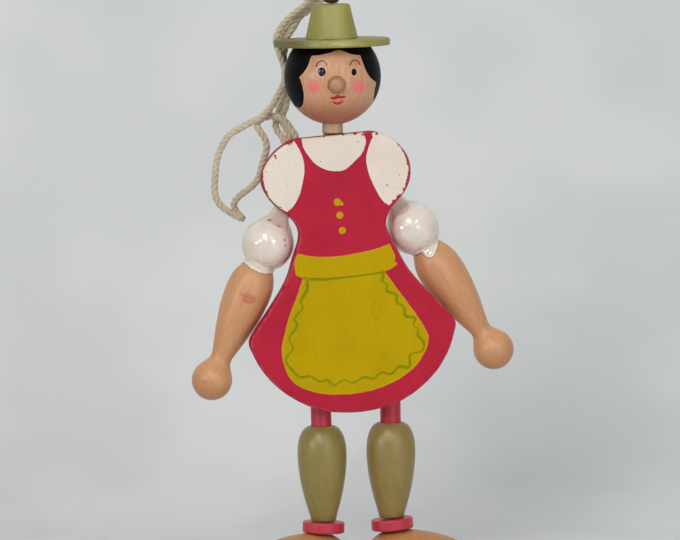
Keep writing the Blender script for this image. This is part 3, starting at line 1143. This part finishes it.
# Each cord: x of its hole in the bar, then world (x, y, z) stations after the hole.
CORDS = {
    "left": (14.0, [
        (13.2, 9.2, -9.5), (10.5, 13, -20), (4, 16, -33), (-9.7, 17, -50.6), (-13.5, 17.2, -54),
        (-17.9, 17.4, -57.8), (-21.3, 17.5, -61), (-24.2, 17.5, -65.1), (-25.5, 17.4, -69.9),
        (-24.6, 17.2, -74.2), (-22.9, 17, -78.1), (-21.5, 16.8, -83), (-21.1, 17, -87.8),
        (-22.2, 17, -91.7), (-24.1, 16.6, -95), (-25.9, 16, -98.4), (-28.5, 14.5, -102.2),
        (-31.56, 13.36, -105.23), (-34.75, 13.22, -107.49), (-38.49, 13.92, -109.19),
        (-42.18, 15.21, -111.42), (-46.42, 16.97, -113.88), (-49.58, 18.74, -117.03),
        (-51.73, 20.56, -121.49), (-53.51, 22.15, -126.42), (-54.35, 23.4, -131.82),
        (-54.61, 23.8, -136.65), (-54.81, 23.8, -141.55), (-54.11, 23.8, -146.15),
        (-51.91, 23.8, -149.75), (-48.51, 23.8, -152.45), (-45.61, 23.8, -154.45),
        (-43.11, 23.7, -155.55), (-41.41, 25, -156.35), (-41.01, 27.2, -156.15),
        (-42.21, 29.1, -154.75), (-44.11, 29.5, -152.45), (-45.21, 28.1, -149.65),
        (-43.71, 25.8, -146.55), (-40.61, 24.8, -143.85), (-37.31, 24.2, -141.25),
        (-34.41, 23.4, -138.25), (-32.82, 21.83, -133.77), (-32, 19.37, -129.3),
        (-30.88, 16.72, -124.77), (-30.19, 15.14, -121.17), (-31.21, 14.34, -117.28),
        (-33.65, 14, -113.33), (-35.1, 15, -110.7), (-33.9, 16.4, -108.3), (-30.9, 17, -106.9),
        (-28.5, 17, -106.2), (-25.3, 16.8, -106.4), (-22.2, 16.4, -107.9), (-19.6, 15.8, -110.8),
        (-17.5, 15, -113.9), (-16.1, 14.4, -116.8), (-18.2, 13.6, -122.5), (-20.5, 14, -130),
        (-24, 16.6, -138.5), (-25.4, 18.4, -144), (-24.6, 18.2, -147.6)]),
    "right": (24.0, [
        (22.6, 9.6, -9.5), (18, 16, -20.5), (8, 23, -34.5), (-7.5, 25, -51.8),
        (-11.4, 25.2, -55.2), (-15.6, 25.2, -59.5), (-19, 25.2, -63.9), (-22, 25.2, -69.7),
        (-22.2, 25.2, -74.6), (-21.4, 25.4, -78.5), (-20.1, 25.6, -83.3), (-19.5, 25.8, -88.2),
        (-20.1, 26, -93.1), (-21.6, 26, -97.9), (-22.8, 25.8, -101.8), (-23.6, 25.4, -105.2),
        (-24.7, 24.8, -108.5), (-24.8, 23.5, -111.9), (-23.6, 21.5, -114.9), (-21.4, 19, -118),
        (-20, 19, -126.5), (-13, 18, -132), (2, 16.8, -136), (15, 16.6, -134.4),
        (25.6, 17, -134), (29.4, 18, -140.4)]),
    "back": (34.0, [
        (32.2, 10, -9.5), (26, 16, -22), (13, 20.5, -37), (-5, 21.3, -52.2), (-9.2, 21.2, -55.1),
        (-13.6, 20.8, -58.4), (-16.6, 20.6, -63.3), (-20, 20.6, -68.6), (-21, 20.6, -74.4),
        (-21.4, 21, -78.3), (-20.4, 21.2, -83.1), (-19.7, 21.4, -88), (-19.4, 21.6, -92.9),
        (-19.7, 21.6, -97.7), (-20.2, 21.4, -101.6), (-21.6, 21, -105), (-22.3, 20.6, -107.9),
        (-21.3, 20.2, -111), (-19.4, 19.6, -114.1), (-18, 19.2, -117.5), (-17, 19.5, -121.8),
        (-11, 17.5, -124.8), (-5, 14, -126.2), (-0.6, 11.4, -127)])}
# Arm ends: blend from and to (metres), then the knot's centre and turns.
ARM_ENDS = {
    "left": ((0, 0, -0.119), (0, 0, -0.1455), (-24.4, 17.3, -149.6), (0.9, 0.4, 0.2)),
    "right": ((0.005, 0, 0), (0.0275, 0, 0), (29.7, 17.2, -142.4), (0.7, -0.4, 0.6))}

for key, (hole, stations) in CORDS.items():
    node = "back_cord" if key == "back" else "arm_cord_" + key
    path = path_of([(hole, y, BAR_Z) for y in THROUGH_BAR] + stations)
    x, z = path[0][:, 0], path[0][:, 2]
    order = np.arange(len(z))
    end = len(z) - 1
    # Cut at the neck, and the arm cords again where they pass from torso to arm.
    neck_cut = int(np.argmax(z < -104.0))
    arm_cut = end
    if key == "left":
        arm_cut = int(np.argmax((order > end // 2) & (x > -17.0)))
    elif key == "right":
        arm_cut = int(np.argmax((z < -126.0) & (order > neck_cut)))
    top = rope(node + "_top", path, 0, neck_cut)
    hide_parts(node)
    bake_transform(top, "control", "neck", (0, 0, -0.012), (0, 0, -0.054))
    low = rope(node + "_low", path, neck_cut, arm_cut)
    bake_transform(low, "neck", "torso", (0, 0, -0.1045), (0, 0, -0.1165))
    if key == "back":
        knot("back_cord_knot", (0.0, 11.9, -128.6), 1.55, "torso", 0.95, (0.3, 0.2, 0.0))
    else:
        start, stop, centre, turns = ARM_ENDS[key]
        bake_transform(rope(node + "_end", path, arm_cut, end), "torso", "arm_" + key, start, stop)
        knot(node + "_knot", centre, 1.6, "arm_" + key, 0.95, turns)
    knot(node + "_stop", (hole, -7.1, BAR_Z), 1.9, "control", 1.15, (0.2, 0.4, hole))

# Ring of cord above the head, its knot, and the cord down from it.
RING_RADIUS, RING_Z, HANGER_RADIUS = 9.0, -21.0, 1.5
ring_points = [(0, RING_RADIUS * math.sin(t), RING_Z + RING_RADIUS * math.cos(t))
               for t in np.linspace(0, 2 * math.pi, 17)[:-1]]
loop = rope("suspension_loop", path_of(ring_points, closed=True), radius=HANGER_RADIUS, hairs=1.2)
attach(loop, "neck")
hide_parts("suspension_cord")
knot("suspension_knot", (0, 0, -31.4), 1.9, "neck", 1.3, (1.2, 0.3, 0.0))
drop_path = path_of([(0, 0, -31), (0, 0.2, -35), (0, -0.2, -39), (0, 0, -43), (0, 0, -48),
                     (0, 0, -56)])
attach(rope("suspension_drop", drop_path, radius=HANGER_RADIUS, hairs=1.2), "neck")


# ------------------------------------------------------------------ stage, in metres
FLOOR_Z = CAD_BOX[0][2] - 0.0006
BEND_START, BEND_RADIUS = 0.10, 0.30


def backdrop_paint():
    """Pale and one-sided: clear when seen from behind."""
    mat = Shader("pale_backdrop", in_object=True)
    colour = mat.tint(rgb(222, 224, 224), rgb(214, 216, 217),
                      mat.noise(scale=0.01, detail=2.0), span=(0.35, 0.65))
    material = mat.finish(colour, 0.85, spec=0.2)
    sides = mat.node("MixShader", {0: mat.node("NewGeometry").outputs["Backfacing"],
                                   1: mat.surface.outputs[0],
                                   2: mat.node("BsdfTransparent").outputs[0]})
    mat.put(mat.tree.nodes["Material Output"].inputs["Surface"], sides.outputs[0])
    return material


def backdrop():
    """Floor running back and curving up into a plain wall."""
    profile = [(-2.2, 0.0), (BEND_START, 0.0)]
    for k in range(1, 13):
        angle = math.radians(90 * k / 12)
        profile.append((BEND_START + BEND_RADIUS * math.sin(angle),
                        BEND_RADIUS * (1 - math.cos(angle))))
    profile.append((BEND_START + BEND_RADIUS, 2.6))
    columns = np.linspace(-2.6, 2.6, 9)
    wide = len(columns)
    verts = [(x, y, z + FLOOR_Z) for y, z in profile for x in columns]
    faces = [(i * wide + j, i * wide + j + 1, (i + 1) * wide + j + 1, (i + 1) * wide + j)
             for i in range(len(profile) - 1) for j in range(wide - 1)]
    mesh = bpy.data.meshes.new("backdrop")
    mesh.from_pydata(verts, [], faces)
    shade_smooth(mesh)
    piece = bpy.data.objects.new("backdrop", mesh)
    COLLECTION.objects.link(piece)
    mesh.materials.append(backdrop_paint())


backdrop()

AIM = (0.0, 0.0, -0.18)
LAMP_DISTANCE = 1.6
# Soft lights: name, place, size, watts, colour.
SOFT_LIGHTS = [("key", (-0.85, -1.42, 0.7), 0.75, 14.6, (1.0, 0.975, 0.94)),
               ("fill", (1.1, -1.4, 0.25), 1.1, 8.4, (0.96, 0.98, 1.0)),
               ("top", (0.0, -0.25, 1.15), 0.9, 4.4, (1.0, 0.98, 0.95))]
# Lamps: degrees right of the front, degrees up, size, brightness.
LAMPS = [(-57, 8, 0.15, 80.0), (-27, 38, 0.28, 30.0), (-12, 22, 0.09, 95.0), (8, 30, 0.09, 80.0),
         (15, 38, 0.08, 80.0), (18, 12, 0.10, 90.0), (22, 0, 0.08, 70.0), (-40, 24, 0.09, 75.0)]


def aim_at(thing, target):
    away = Vector(target) - thing.location
    thing.rotation_euler = away.to_track_quat("-Z", "Y").to_euler()


def area(name, place, size, power, colour):
    data = bpy.data.lights.new(name, "AREA")
    data.energy = power
    data.size = size
    data.color = colour
    light = bpy.data.objects.new(name, data)
    COLLECTION.objects.link(light)
    light.location = place
    aim_at(light, AIM)
    return light


def direction(azimuth, elevation):
    """Unit vector from degrees round from -Y towards +X, and degrees up."""
    azimuth, elevation = math.radians(azimuth), math.radians(elevation)
    return Vector((math.sin(azimuth) * math.cos(elevation),
                   -math.cos(azimuth) * math.cos(elevation), math.sin(elevation)))


for settings in SOFT_LIGHTS:
    area(*settings).visible_glossy = False
# These only make sharp glints in the gloss paint and a soft shine on the wood.
for k, (azimuth, elevation, size, shine) in enumerate(LAMPS):
    place = Vector(AIM) + direction(azimuth, elevation) * LAMP_DISTANCE
    lamp = area("lamp%d" % k, place, size, shine * math.pi * size * size, (1.0, 0.98, 0.95))
    lamp.visible_diffuse = False

world = bpy.data.worlds.new("studio")
bpy.context.scene.world = world
world.use_nodes = True
sky = world.node_tree.nodes["Background"].inputs
sky["Color"].default_value = (0.80, 0.86, 0.90, 1.0)
sky["Strength"].default_value = 0.27

CAMERA_TARGET = Vector((0.0036, 0.0, -0.180))
CAMERA_DISTANCE = 2.8
lens = bpy.data.cameras.new("camera")
lens.sensor_width = 36.0
lens.sensor_fit = "HORIZONTAL"
lens.lens = 306.9
lens.clip_start = 0.05
lens.clip_end = 30.0
camera = bpy.data.objects.new("camera", lens)
COLLECTION.objects.link(camera)
camera.location = CAMERA_TARGET + CAMERA_DISTANCE * direction(-7.0, 4.3)
aim_at(camera, CAMERA_TARGET)
scene = bpy.context.scene
scene.camera = camera
scene.view_settings.view_transform = "Standard"
scene.view_settings.look = "None"
